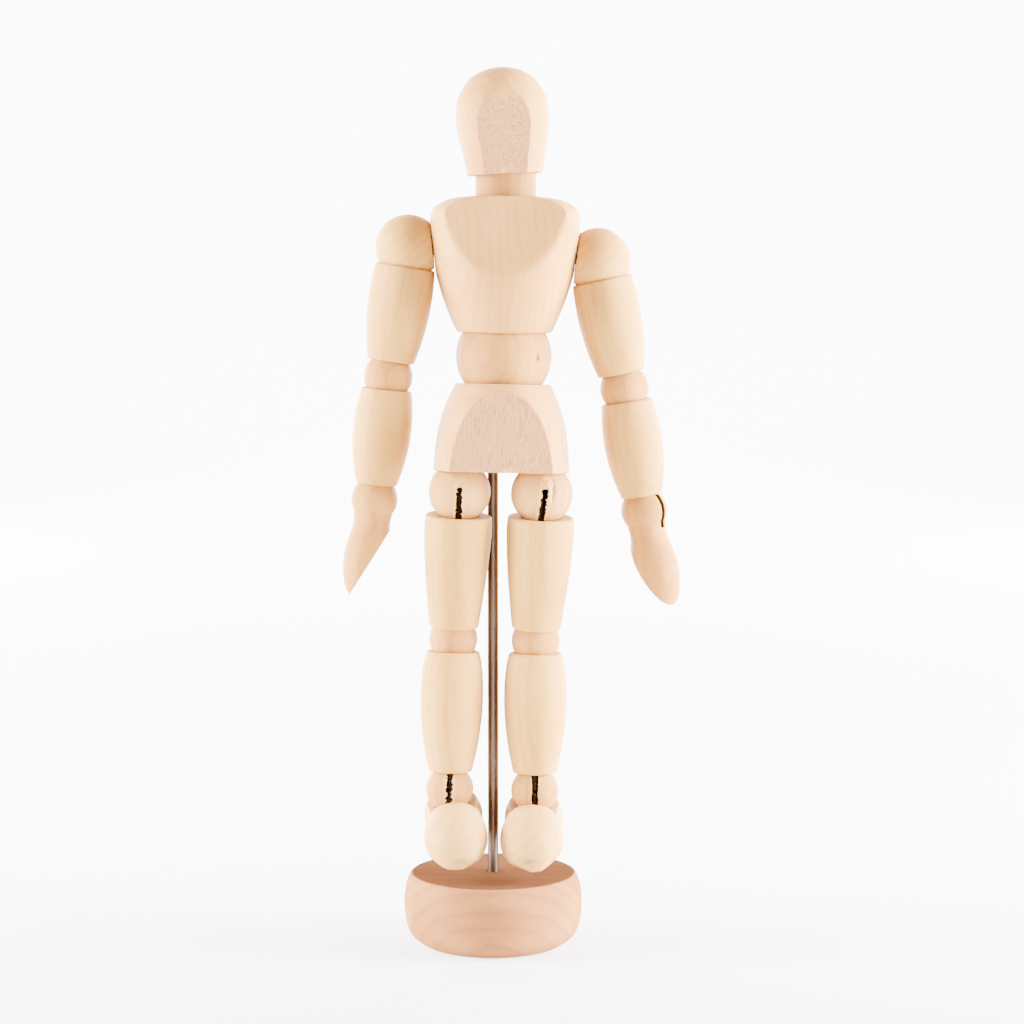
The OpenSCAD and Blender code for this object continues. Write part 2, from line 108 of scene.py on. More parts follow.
def grain_lines():
    """{piece: (a point on its grain axis in mm, the axis, its tint)}."""
    waist = centre_of("waist_twist")
    neck = centre_of("neck_turn")
    trunk = axis_of("waist_twist")
    heel = TOES_DOWN @ Vector((0, 1, 0))
    lines = {
        "base": (BASE_HEART, BASE_GRAIN, "base"),
        "pelvis": (waist, trunk, "open_grained"),
        "waist_ball": (waist, trunk, "tan"),
        "chest": (neck, axis_of("neck_turn"), "pink"),
        "neck": (neck, axis_of("neck_turn"), "dark_tan"),
        "head": (neck, upright("head_nod"), "speckled"),
    }
    for side in SIDES:
        at = limbs(side)
        lines[side + "_shoulder_cap"] = (at.shoulder, CAP_GRAIN, "cream")
        lines[side + "_upper_arm"] = (at.shoulder, at.arm, "cream")
        lines[side + "_elbow"] = (at.elbow, at.arm, "tan")
        lines[side + "_forearm"] = (at.elbow, at.forearm, "cream")
        lines[side + "_hand"] = (at.wrist, at.forearm, "tan")
        lines[side + "_hip_ball"] = (at.hip, trunk, "pink")
        lines[side + "_thigh"] = (at.hip, at.thigh, "cream")
        lines[side + "_knee"] = (at.knee, at.thigh, "tan")
        lines[side + "_calf"] = (at.knee, at.calf, "cream")
        lines[side + "_ankle_ball"] = (at.ankle, at.calf, "tan")
        lines[side + "_foot"] = (at.ankle, heel, "pale")
    return lines


GRAIN = grain_lines()


def local_frame(axis):
    """Rows are a piece's own X, Y and grain axes."""
    z = axis.normalized()
    x = Vector((1, 0, 0)) - z * z.x
    if x.length < 0.3:
        x = Vector((0, 1, 0)) - z * z.y
    x.normalize()
    return np.array([x, z.cross(x), z])


# --- Mesh tools ------------------------------------------------------------------------

VOXEL = 0.16
SOFTENING_PASSES = 4
SMALLEST_FLAT = 25  # square mm


def points_of(mesh):
    flat = np.empty(len(mesh.vertices) * 3)
    mesh.vertices.foreach_get("co", flat)
    return flat.reshape(-1, 3)


def add_object(name, mesh):
    piece = bpy.data.objects.new(name, mesh)
    bpy.context.scene.collection.objects.link(piece)
    return piece


def add_attribute(mesh, name, values, kind="FLOAT"):
    attribute = mesh.attributes.new(name, kind, "POINT")
    key = "value" if kind == "FLOAT" else "vector"
    attribute.data.foreach_set(key, np.ascontiguousarray(values, np.float32).ravel())


def smooth_noise(points, scale, seed):
    """Noise from -1 to 1 at each point."""
    shift = Vector((seed * 7.31, seed * 3.17, seed * 5.53))
    return np.array([noise.noise(Vector(p) * scale + shift) for p in points])


def flats(node):
    """The planes (normal, distance in mm) of a CAD node's larger flat faces."""
    mesh = frame["nodes"][node].data
    planes = {}
    for face in mesh.polygons:
        normal = face.normal
        distance = normal.dot(face.center) / MM
        key = tuple(round(v, 2) for v in normal) + (round(distance, 1),)
        area = planes.get(key, (0, None, None))[0] + face.area / MM**2
        planes[key] = (area, normal.copy(), distance)
    return [(normal, distance) for area, normal, distance in planes.values() if area > SMALLEST_FLAT]


def softened(node):
    """A fine copy of a CAD node in mm, its edges rounded as sanding does."""
    mesh = frame["nodes"][node].data.copy()
    mesh.transform(Matrix.Scale(1 / MM, 4))
    rough = add_object(node + "_rough", mesh)
    weld = rough.modifiers.new("weld", "WELD")
    weld.merge_threshold = 0.002
    remesh = rough.modifiers.new("remesh", "REMESH")
    remesh.mode = "VOXEL"
    remesh.voxel_size = VOXEL
    smooth = rough.modifiers.new("smooth", "SMOOTH")
    smooth.factor = 0.5
    smooth.iterations = SOFTENING_PASSES
    graph = bpy.context.evaluated_depsgraph_get()
    fine = bpy.data.meshes.new_from_object(rough.evaluated_get(graph))
    fine.name = node + "_wood"
    bpy.data.objects.remove(rough)
    return fine


# --- Shader nodes ----------------------------------------------------------------------

class Shader:
    """A material with a short way to add and join its nodes."""

    def __init__(self, name):
        self.material = bpy.data.materials.new(name)
        self.material.use_nodes = True
        self.tree = self.material.node_tree
        self.tree.nodes.clear()

    def add(self, kind, settings=None, **inputs):
        """Adds a node. An input is a value or another node's output, and _ stands for a space."""
        node = self.tree.nodes.new("ShaderNode" + kind)
        for key, value in (settings or {}).items():
            setattr(node, key, value)
        for key, value in inputs.items():
            self.set(node, key.replace("_", " "), value)
        return node

    def set(self, node, key, value):
        """Sets or links the input that key names, or counts as in i0, i1 and i2."""
        counted = key[0] == "i" and key[1:].isdigit()
        socket = node.inputs[int(key[1:]) if counted else key]
        if isinstance(value, bpy.types.NodeSocket):
            self.tree.links.new(value, socket)
        else:
            socket.default_value = value

    def attribute(self, name, output="Fac"):
        return self.add("Attribute", {"attribute_name": name}).outputs[output]

    def math(self, operation, a, b=0.0, c=0.0):
        node = self.add("Math", {"operation": operation}, i0=a, i1=b)
        if operation == "MULTIPLY_ADD":
            self.set(node, "i2", c)
        return node.outputs[0]

    def mix(self, share, a, b, blend="MIX"):
        """Colour a towards colour b by share."""
        node = self.add("Mix", {"data_type": "RGBA", "blend_type": blend}, i0=share, i6=a, i7=b)
        return node.outputs[2]

    def ramp(self, value, low, high):
        """0 at low to 1 at high, smoothly."""
        settings = {"interpolation_type": "SMOOTHSTEP", "clamp": True}
        return self.add("MapRange", settings, Value=value, From_Min=low, From_Max=high).outputs[0]

    def noise(self, vector, scale, detail=3.0, rough=0.55):
        node = self.add("TexNoise", Vector=vector, Scale=scale, Detail=detail, Roughness=rough)
        return node.outputs[0]

    def stretched(self, vector, along):
        """The grain coordinates, shortened along the grain."""
        node = self.add("VectorMath", {"operation": "MULTIPLY"}, i0=vector, i1=(1.0, 1.0, along))
        return node.outputs[0]

    def finish(self, surface):
        out = self.add("OutputMaterial")
        self.tree.links.new(surface.outputs[0], out.inputs["Surface"])
        return self.material


# --- Materials -------------------------------------------------------------------------

# Colours are scene-linear. Flecks: how fine they are, how short along the grain (0 is endless), the level
# of noise above which they show, and how much more they show on a planed flat than on turned wood
Flecks = namedtuple("Flecks", "scale shortness level planed_share")
Tint = namedtuple("Tint", "early late flecks planed_wood ring_width ring_depth gloss",
                  defaults=((0.44, 0.21, 0.090, 1), 2.1, 0.15, 0.06))
TINTS = {
    "cream": Tint((0.53, 0.285, 0.066, 1), (0.46, 0.232, 0.048, 1), Flecks(3.2, 0.12, 0.56, 0.2)),
    "pale": Tint((0.56, 0.31, 0.092, 1), (0.51, 0.27, 0.070, 1), Flecks(3.2, 0.2, 0.57, 0.2)),
    "pink": Tint((0.52, 0.262, 0.073, 1), (0.46, 0.220, 0.056, 1), Flecks(3.4, 0.16, 0.56, 0.2)),
    "speckled": Tint((0.52, 0.266, 0.076, 1), (0.46, 0.224, 0.058, 1), Flecks(3.2, 0.7, 0.46, 0.36)),
    "open_grained": Tint((0.52, 0.262, 0.073, 1), (0.46, 0.220, 0.056, 1), Flecks(4.4, 0.035, 0.5, 0.42)),
    "tan": Tint((0.45, 0.210, 0.050, 1), (0.38, 0.170, 0.038, 1), Flecks(3.0, 0.1, 0.56, 0.2)),
    # A darker tan for the neck: partly darker wood, partly painted shade of its recess between head and chest
    "dark_tan": Tint((0.33, 0.150, 0.036, 1), (0.27, 0.118, 0.027, 1), Flecks(3.0, 0.1, 0.56, 0.2)),
    # The base's planed flats, its top above all, turn very dark: partly darker wood, partly painted shade of the
    # dimly lit top
    "base": Tint((0.32, 0.138, 0.048, 1), (0.26, 0.106, 0.035, 1), Flecks(2.6, 0.1, 0.56, 0.0),
                 planed_wood=(0.055, 0.022, 0.011, 1), ring_width=3.4, ring_depth=0.16, gloss=0.0),
}
PORE = (0.14, 0.055, 0.02, 1)
# Colour of the painted shade in bores, slots and cups, and of the real knots, cracks and worn spots
GRIME_AND_SHADE = (0.05, 0.017, 0.006, 1)
BARE_WOOD = (0.66, 0.42, 0.16, 1)
TARNISH = (0.0976, 0.0513, 0.0319, 1)
# mm from a piece's grain axis to the tree's pith
PITH_ACROSS = 31.0
PITH_DEEP = 17.0
# Where in a ring the dark late wood begins and ends
LATE_WOOD = (0.45, 0.95)
WOOD_IOR = 1.45
PORE_DEPTH = 0.00006  # metres


def growth_rings(shader, grain, width):
    """How deep in the late wood of its ring a point is, from 0 to 1."""
    wander = shader.noise(shader.stretched(grain, 0.12), 0.09, 2.0)
    parts = shader.add("SeparateXYZ", Vector=grain).outputs
    across = shader.math("ADD", parts["X"], PITH_ACROSS)
    deep = shader.math("ADD", parts["Y"], PITH_DEEP)
    squares = shader.math("ADD", shader.math("MULTIPLY", across, across), shader.math("MULTIPLY", deep, deep))
    far = shader.math("MULTIPLY_ADD", wander, 6.0, shader.math("SQRT", squares))
    phase = shader.math("FRACT", shader.math("DIVIDE", far, width))
    past = shader.ramp(phase, LATE_WOOD[1], 1.0)
    return shader.math("MULTIPLY", shader.ramp(phase, *LATE_WOOD), shader.math("SUBTRACT", 1.0, past))


def wood(name, tint):
    """Sanded hardwood: rings, slow changes of tone, fibres and flecks, and what the mesh's attributes add."""
    shader = Shader(name)
    grain = shader.attribute("grain", "Vector")
    planed = shader.attribute("planed")
    flecks = tint.flecks
    ring = growth_rings(shader, grain, tint.ring_width)
    tone = shader.noise(shader.stretched(grain, 0.25), 0.11, 2.0)
    fibre = shader.noise(shader.stretched(grain, 0.045), 5.5, 4.0, 0.65)
    fleck = shader.noise(shader.stretched(grain, flecks.shortness), flecks.scale, 2.0, 0.6)
    pore = shader.ramp(fleck, flecks.level, flecks.level + 0.12)
    fibre_share = shader.math("MULTIPLY", shader.ramp(fibre, 0.42, 0.75), 0.3)
    pore_share = shader.math("MULTIPLY_ADD", planed, flecks.planed_share, 0.1)

    colour = shader.mix(shader.ramp(tone, 0.3, 0.7), tint.early, tint.late)
    colour = shader.mix(shader.math("MULTIPLY", ring, tint.ring_depth), colour, tint.late, "MULTIPLY")
    colour = shader.mix(fibre_share, colour, tint.late, "MULTIPLY")
    # Planed flats turn greyer and darker: partly their cut grain, partly painted shade
    colour = shader.mix(shader.math("MULTIPLY", planed, 0.85), colour, tint.planed_wood)
    colour = shader.mix(shader.math("MULTIPLY", pore, pore_share), colour, PORE)
    colour = shader.mix(shader.math("MULTIPLY", shader.attribute("bare"), 0.7), colour, BARE_WOOD)
    # Painted shade in recesses, with the real knots, cracks and worn spots, darkens the wood here
    colour = shader.mix(shader.attribute("stain_and_shade"), colour, GRIME_AND_SHADE)

    height = shader.math("SUBTRACT", shader.math("MULTIPLY", fibre, 0.5), shader.math("MULTIPLY", pore, 0.8))
    bump = shader.add("Bump", Strength=0.25, Distance=PORE_DEPTH, Height=height)
    rough = shader.math("MULTIPLY_ADD", planed, 0.12, shader.math("MULTIPLY_ADD", fibre, 0.16, 0.5))
    return shader.finish(shader.add("BsdfPrincipled", Base_Color=colour, Roughness=rough, IOR=WOOD_IOR,
                                    Normal=bump.outputs[0], Specular_IOR_Level=tint.gloss))


def metal(name, colour, roughness, streak=0.0, edge=(1, 1, 1, 1)):
    """Drawn wire with patchy tarnish. streak makes its roughness uneven; edge tints grazing reflections."""
    shader = Shader(name)
    place = shader.add("TexCoord").outputs["Object"]
    tarnish = shader.math("MULTIPLY", shader.ramp(shader.noise(place, 900.0), 0.4, 0.75), 0.45)
    if streak:
        roughness = shader.math("MULTIPLY_ADD", shader.noise(place, 9000.0, 2.0), streak, roughness)
    return shader.finish(shader.add("BsdfPrincipled", Base_Color=shader.mix(tarnish, colour, TARNISH),
                                    Metallic=1.0, Roughness=roughness, Specular_Tint=edge))


WOODS = {name: wood(name + "_wood", tint) for name, tint in TINTS.items()}
ROD_STEEL = metal("rod_steel", (0.11, 0.077, 0.058, 1), 0.34, edge=(0.14, 0.11, 0.095, 1))
SPRING_STEEL = metal("spring_steel", (0.17, 0.085, 0.04, 1), 0.35, 0.1)
PIN_STEEL = metal("pin_steel", (0.32, 0.30, 0.28, 1), 0.35, 0.1)


# --- Wood pieces -----------------------------------------------------------------------

# Sawn slots: the heights each spans from its ball's centre, how much it leans and how torn it is
SLOTS = {
    "right_hip_ball": (-8, 2.2, 0.0, 0.45),
    "left_hip_ball": (-8, 2.2, 0.13, 0.4),
    "right_ankle_ball": (-7, 6, 0.0, 0.5),
    "left_ankle_ball": (-7, 6, 0.0, 0.15),
}
SLOT_HALF_WIDTH = 0.62
# Dark knots, cracks and worn spots: place in mm, radii, depth of colour
STAINS = {
    "waist_ball": [((10.15, -9.8, 135.3), (0.4, 0.7, 0.85), 0.98)],
    "pelvis": [((-9.0, -13.6, 115.7), (0.13, 2, 1.5), 0.5), ((-10.1, -12.8, 113.2), (0.12, 2, 1.2), 0.4)],
    "right_foot": [((-6.7, -17.5, 22.5), (2.0, 2.2, 0.9), 0.4)],
    "left_foot": [((8.2, -18.1, 22.7), (1.6, 2.2, 0.9), 0.45)],
    "right_calf": [((-2.9, -6.3, 59.8), (0.2, 0.5, 0.2), 0.5)],
    "base": [((0, 0, 16.5), (1.75, 1.75, 0.3), 0.6)],
}
# Torn edges that show pale fresh wood: place in mm, radii, depth of the tear in mm
TEARS = {
    "right_hip_ball": [((-7.0, -11.0, 107.2), (1.0, 2, 1.5), 0.4)],
    "left_hip_ball": [
        ((12.5, -10.6, 107.6), (0.9, 2, 1.4), 0.3),
        ((13.2, -11.3, 105.2), (0.6, 2, 1.9), 0.45),
    ],
    "head": [((3.0, -8.7, 176.7), (0.7, 1, 0.7), 0.35)],
    "pelvis": [((3.8, -13.8, 110.2), (1.2, 1, 0.5), 0.3)],
    "right_forearm": [
        ((-25.5, -6.7, 128.4), (0.7, 0.7, 0.4), 0.2),
        ((-28.5, -5.9, 128.2), (0.6, 0.6, 0.4), 0.2),
    ],
    "left_forearm": [((23.8, -5.6, 126.4), (0.7, 0.7, 0.5), 0.2)],
    "right_ankle_ball": [((-9.3, -6.4, 33.5), (0.6, 2, 1.6), 0.3)],
}
# Flats left by sanding a rounded end: the way each faces and its depth in mm
SANDED = {
    "left_shoulder_cap": [((0.7, -0.15, 0.7), 0.45)],
    "right_foot": [((-0.6, -0.3, -0.75), 0.35), ((0.5, -0.3, -0.8), 0.3)],
    "left_foot": [((0.7, -0.3, -0.65), 0.75), ((-0.4, -0.3, -0.85), 0.55), ((0.95, -0.3, 0.15), 0.35)],
}
# How much coarser, greyer and darker than the turned wood each piece's planed flats are; the darkening is partly
# painted shade, most of all on the base's top
PLANED = {"base": 1.0, "head": 1.0, "pelvis": 0.9, "chest": 0.08}
PLANED_EDGE = 0.12  # mm over which that look fades
# A point that looks at another wall of its own piece within SIGHT mm is inside it, and gets painted shade
SIGHT = 16
NARROW = 4
NARROW_SHADE = 0.96
WIDE_SHADE = 0.8
# The heights in mm between which the crease round the chest's front flat is softened
CREASE_BOTTOM = 140
CREASE_TOP = 167
CREASE_PASSES = 160
CAP_PRESS = 0.2


def shut_in(node, mesh, points):
    """How much painted shade each point gets from facing another wall of its own piece, as in a bore, a slot or a
    cup; partly also grime on their raw insides.
    """
    cad = frame["nodes"][node].data
    walls = BVHTree.FromPolygons([v.co / MM for v in cad.vertices], [f.vertices for f in cad.polygons])
    normals = np.empty(len(points) * 3, np.float32)
    mesh.vertex_normals.foreach_get("vector", normals)
    dark = np.zeros(len(points))
    for i, (point, normal) in enumerate(zip(points, normals.reshape(-1, 3))):
        normal = Vector(normal)
        distance = walls.ray_cast(Vector(point) + 0.25 * normal, normal, SIGHT)[3]
        if distance is not None:
            dark[i] = NARROW_SHADE if distance < NARROW else WIDE_SHADE
    return dark


def torn_slot(points, rows, middle, slot, seed):
    """Leans and frays a sawn slot in the front of a ball, and says how bare each point by its edge is."""
    low, high, lean, torn = slot
    if rows[2][2] < 0:
        rows = rows * [[1], [-1], [-1]]
    x, y, z = rows @ (points - middle).T
    front = (y < -1) & (z > low) & (z < high + 1)
    wall = np.exp(-((np.abs(x) - SLOT_HALF_WIDTH) / 0.45) ** 2) * front
    near = np.flatnonzero(wall > 0.05)
    ragged = smooth_noise(points[near] * (0.7, 0.7, 1), 1.7, seed)
    ragged += 0.6 * smooth_noise(points[near], 4.5, seed + 1)
    shift = lean * (z + 5) * np.exp(-(x / 2.5) ** 2) * front
    shift += 0.1 * np.sign(x) * wall
    shift[near] += torn * ragged * wall[near]
    points += shift[:, None] * rows[0]
    bare = torn * np.exp(-((np.abs(x) - SLOT_HALF_WIDTH - 0.35) / 0.3) ** 2) * front
    return np.clip(1.6 * bare, 0, 1)


def tear(points, node, seed):
    """Digs the piece's torn spots inwards, with a splintered floor, and says how bare each point is."""
    bare = np.zeros(len(points))
    middle = points.mean(axis=0)
    for place, radii, depth in TEARS.get(node, ()):
        near = np.exp(-np.sum(((points - place) / np.array(radii)) ** 2, axis=1))
        spots = np.flatnonzero(near > 0.03)
        rough = 1 + 0.9 * smooth_noise(points[spots] * (1, 1, 0.4), 3.2, seed)
        inward = middle - np.array(place)
        inward[2] *= 0.2
        inward /= np.linalg.norm(inward)
        points[spots] += (depth * near[spots] * rough)[:, None] * inward
        bare = np.maximum(bare, 0.9 * near)
    return bare


def sand(points, facing, depth):
    """Cuts the piece's outermost depth mm flat, square to facing."""
    facing = np.array(facing) / np.linalg.norm(facing)
    along = points @ facing
    points -= np.maximum(along - (along.max() - depth), 0)[:, None] * facing


def ease(mesh, points, share, passes):
    """Evens out the surface where share is 1, so that a crease there turns soft."""
    edges = np.empty(len(mesh.edges) * 2, np.int64)
    mesh.edges.foreach_get("vertices", edges)
    first, second = edges.reshape(-1, 2).T
    count = np.bincount(edges, minlength=len(points))[:, None]
    for _ in range(passes):
        total = np.zeros_like(points)
        for axis in range(3):
            total[:, axis] = (np.bincount(first, points[second, axis], len(points))
                              + np.bincount(second, points[first, axis], len(points)))
        points += 0.5 * share[:, None] * (total / count - points)


def ease_chest(mesh, points, dark):
    """Softens the crease round the flat on the front of the chest, and leaves the chest's insides alone."""
    height = points[:, 2]
    share = np.clip((height - CREASE_BOTTOM) / 2, 0, 1) * np.clip((CREASE_TOP - height) / 3, 0, 1)
    ease(mesh, points, share * (dark == 0) * (points[:, 1] < 0), CREASE_PASSES)


def press_flats(node, points):
    """Moves a shoulder cap's flats out by CAP_PRESS mm, towards the chest."""
    for normal, distance in flats(node):
        close = np.exp(-((points @ np.array(normal) - distance) / 0.15) ** 2)
        points += CAP_PRESS * close[:, None] * np.array(normal)


def wear(node, mesh, points, rows, dark, seed):
    """Gives the piece its hand-made shape, and says how bare each point is."""
    if node == "chest":
        ease_chest(mesh, points, dark)
    if node.endswith("shoulder_cap"):
        press_flats(node, points)
    for facing, depth in SANDED.get(node, ()):
        sand(points, facing, depth)
    bare = tear(points, node, seed)
    if node in SLOTS:
        middle = np.array(GRAIN[node][0])
        bare = np.maximum(bare, torn_slot(points, rows, middle, SLOTS[node], seed))
    return bare


def planed_share(node, points):
    """How much each point shows the coarser look of a planed flat."""
    share = np.zeros(len(points))
    for normal, distance in flats(node):
        off = (points @ np.array(normal) - distance) / PLANED_EDGE
        share = np.maximum(share, PLANED.get(node, 0) * np.exp(-off**2))
    return share


def add_stains_to_shade(node, points, stain_and_shade):
    """The painted shade of the piece's recesses, with the piece's knots, cracks and worn spots added."""
    for spot, radii, depth in STAINS.get(node, ()):
        reach = np.linalg.norm((points - np.array(spot)) / radii, axis=1)
        stain_and_shade = np.maximum(stain_and_shade, depth * np.exp(-reach**2))
    return stain_and_shade


def wood_piece(node):
    """Adds the finished mesh of one wooden piece, with what its shader needs in attributes."""
    point, axis, tint = GRAIN[node]
    rows = local_frame(axis)
    seed = 1 + sorted(GRAIN).index(node)
    mesh = softened(node)
    points = points_of(mesh)
    # Painted shade for the piece's bores, slots and cups
    dark = shut_in(node, mesh, points)
    grain = (points - np.array(point)) @ rows.T + seed * np.array((3.7, 5.9, 11.3))
    planed = planed_share(node, points)
    bare = wear(node, mesh, points, rows, dark, seed)
    mesh.vertices.foreach_set("co", (points * MM).ravel())
    add_attribute(mesh, "grain", grain, "FLOAT_VECTOR")
    add_attribute(mesh, "stain_and_shade", add_stains_to_shade(node, points, dark))
    add_attribute(mesh, "planed", planed)
    add_attribute(mesh, "bare", bare)
    mesh.shade_smooth()
    mesh.materials.clear()
    mesh.materials.append(WOODS[tint])
    piece = add_object(node + "_look", mesh)
    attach(piece, NODE_BODY[node])
    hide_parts(node)


# --- Springs and metal -----------------------------------------------------------------

COIL_R = 1.15
WIRE_R = 0.21
WIRE_SIDES = 7
PITCH = 0.47
TURN_STEPS = 18
# The straight wire between a spring's coils and its hook
SHANK = 1.6
ARM_SHANK = 8.6
SHANK_STEPS = 5
HOOK_STEPS = 22
HOOK_TURN = math.radians(340)
# Two springs share each shoulder pin, so their hooks sit this far to either side of its middle
HOOK_GAP = 0.4
# A ball's spring, in mm from the ball's centre: the pin above, the pin below and the end of its bend
Reach = namedtuple("Reach", "above below bend")
NECK_REACH = Reach(10.5, 10.5, 6.0)
WAIST_REACH = Reach(14.5, 14.5, 9.0)
WRIST_REACH = Reach(9.5, 7.5, 4.5)
HIP_REACH = Reach(12, 12.5, 6.0)
KNEE_REACH = Reach(9.8, 9.8, 5.0)
ANKLE_REACH = Reach(11, 8, 5.0)
FOREARM_PIN = 10
ELBOW_BEND = 5.0
SHOULDER_BEND = 17.0
METAL_BEVEL = 0.12


def wire_mesh(name, path):
    """A round wire along a path in mm."""
    path = np.array(path)
    along = np.gradient(path, axis=0)
    along /= np.linalg.norm(along, axis=1)[:, None]
    side = np.cross(along[0], (0.3, 0.5, 0.8))
    angles = [math.tau * k / WIRE_SIDES for k in range(WIRE_SIDES)]
    verts = []
    for point, step in zip(path, along):
        side = side - step * side.dot(step)
        side /= np.linalg.norm(side)
        up = np.cross(step, side)
        verts += [point + WIRE_R * (math.cos(a) * side + math.sin(a) * up) for a in angles]
    faces = []
    for first in range(0, len(verts) - WIRE_SIDES, WIRE_SIDES):
        for k in range(WIRE_SIDES):
            low, high = first + k, first + (k + 1) % WIRE_SIDES
            faces.append((low, high, high + WIRE_SIDES, low + WIRE_SIDES))
    faces.append(tuple(range(WIRE_SIDES))[::-1])
    faces.append(tuple(range(len(verts) - WIRE_SIDES, len(verts))))
    mesh = bpy.data.meshes.new(name)
    mesh.from_pydata([Vector(v) * MM for v in verts], [], faces)
    mesh.shade_smooth()
    return mesh


def spring_path(centre, pin_at, lift, shank):
    """Coils from a joint's centre towards a pin, then a straight shank and a hook round the pin."""
    run = pin_at - centre
    up = run.normalized()
    out = Vector((0, 1, 0)).cross(up).normalized()
    back = up.cross(out)
    coil_top = run.length - shank
    steps = round(coil_top / PITCH) * TURN_STEPS
    path = []
    for i in range(steps + 1):
        angle = math.tau * i / TURN_STEPS
        height = coil_top * i / steps
        path.append(centre + up * height + COIL_R * (math.cos(angle) * out + math.sin(angle) * back))
    for i in range(1, SHANK_STEPS + 1):
        share = i / SHANK_STEPS
        path.append(centre + up * (coil_top + shank * share) + COIL_R * out + back * lift * share)
    for i in range(1, HOOK_STEPS + 1):
        angle = HOOK_TURN * i / HOOK_STEPS
        path.append(pin_at + back * lift + COIL_R * (math.cos(angle) * out + math.sin(angle) * up))
    return path


def half_spring(name, node, centre, pin_at, bodies, bend_to=0.0, lift=0.0, shank=SHANK):
    """The wound wire from a joint's centre to a pin. It rides the first of bodies, or, given bend_to, is fixed in
    place and rides none.
    """
    mesh = wire_mesh(name, spring_path(centre, pin_at, lift, shank))
    mesh.materials.append(SPRING_STEEL)
    piece = add_object(name, mesh)
    if bend_to:
        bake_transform(piece)
    else:
        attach(piece, bodies[0])
    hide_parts(node)


def ball_spring(node, joint, ball, reach, above, below):
    """Both halves of the spring through a ball. above and below are each (pin direction, body)."""
    centre = centre_of(joint)
    for part, distance, (direction, body) in (("up", reach.above, above), ("down", reach.below, below)):
        half_spring(f"{node}_{part}", node, centre, centre + direction * distance, (ball, body), reach.bend)


def leaning(axis, lengthwise):
    """The lengthwise direction, made square to a sideways hinge axis."""
    return (lengthwise - axis * lengthwise.dot(axis)).normalized()


def add_trunk_springs():
    waist_up = axis_of("waist_twist")
    chest_up = axis_of("neck_turn")
    head_up = GRAIN["head"][1]
    ball_spring("neck_spring", "neck_turn", "neck", NECK_REACH, (head_up, "head"), (-chest_up, "chest"))
    ball_spring("waist_spring", "waist_twist", "waist_ball", WAIST_REACH,
                (chest_up, "chest"), (-waist_up, "pelvis"))


def add_arm_springs(side):
    """One side's half of the spring across the chest, and its arm and wrist springs."""
    at = limbs(side)
    middle = (centre_of("right_arm_out") + centre_of("left_arm_out")) / 2
    arm_spring = f"{side}_arm_spring"
    wrist_spring = f"{side}_wrist_spring"
    half_spring(f"shoulder_spring_{side}", "shoulder_spring", middle, at.shoulder,
                ("chest", f"{side}_shoulder"), SHOULDER_BEND, -HOOK_GAP)
    half_spring(arm_spring + "_up", arm_spring, at.elbow, at.shoulder,
                (f"{side}_elbow", f"{side}_upper_arm"), ELBOW_BEND, HOOK_GAP, ARM_SHANK)
    half_spring(arm_spring + "_down", arm_spring, at.elbow, at.elbow + at.forearm * FOREARM_PIN,
                (f"{side}_elbow", f"{side}_forearm"), ELBOW_BEND)
    half_spring(wrist_spring + "_up", wrist_spring, at.wrist, at.wrist - at.forearm * WRIST_REACH.above,
                (f"{side}_hand", f"{side}_forearm"), WRIST_REACH.bend)
    half_spring(wrist_spring + "_down", wrist_spring, at.wrist, at.wrist + at.forearm * WRIST_REACH.below,
                (f"{side}_hand",))


def add_leg_springs(side):
    at = limbs(side)
    sole = leaning(axis_of(side + "_foot_tilt"), TOES_DOWN @ -UP)
    ball_spring(f"{side}_hip_spring", f"{side}_hip_swing", f"{side}_hip", HIP_REACH,
                (axis_of("waist_twist"), "pelvis"), (at.thigh, f"{side}_thigh"))
    ball_spring(f"{side}_knee_spring", f"{side}_knee_bend", f"{side}_knee", KNEE_REACH,
                (-at.thigh, f"{side}_thigh"), (at.calf, f"{side}_calf"))
    ball_spring(f"{side}_ankle_spring", f"{side}_foot_tilt", f"{side}_ankle", ANKLE_REACH,
                (-at.calf, f"{side}_calf"), (sole, f"{side}_foot"))


def add_metal():
    """The rod with its chamfered end, and the pins, as fine copies of their CAD nodes."""
    for node, body in NODE_BODY.items():
        if node == "rod" or node.endswith("pin") or node.endswith("pins"):
            mesh = frame["nodes"][node].data.copy()
            mesh.shade_smooth()
            mesh.materials.clear()
            mesh.materials.append(ROD_STEEL if node == "rod" else PIN_STEEL)
            piece = add_object(node + "_look", mesh)
            bevel = piece.modifiers.new("bevel", "BEVEL")
            bevel.width = METAL_BEVEL * MM
            bevel.segments = 3
            bevel.limit_method = "ANGLE"
            bevel.harden_normals = True
            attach(piece, body)
            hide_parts(node)


# --- Room, lights and camera -----------------------------------------------------------

ROOM_HALF_WIDTH = 5.0
CURVE_START = 0.9
CURVE_RADIUS = 0.6
CURVE_STEPS = 12
WALL_TOP = 2.4
# Painted light: how brightly the sweep glows in front, on the table, on the wall and far in front
FRONT_GLOW = 0.5
TABLE_GLOW = 4.5
WALL_GLOW = 9.0
FAR_FRONT_GLOW = 2.2
FIGURE_MIDDLE = (0, 0, 0.11)
SKY_LOW = 1.6
SKY_HIGH = 0.2
CAMERA_PLACE = (0.00435, -0.665, 0.1693)
CAMERA_DOWN = 5.971  # degrees
CAMERA_LENS = 103.2


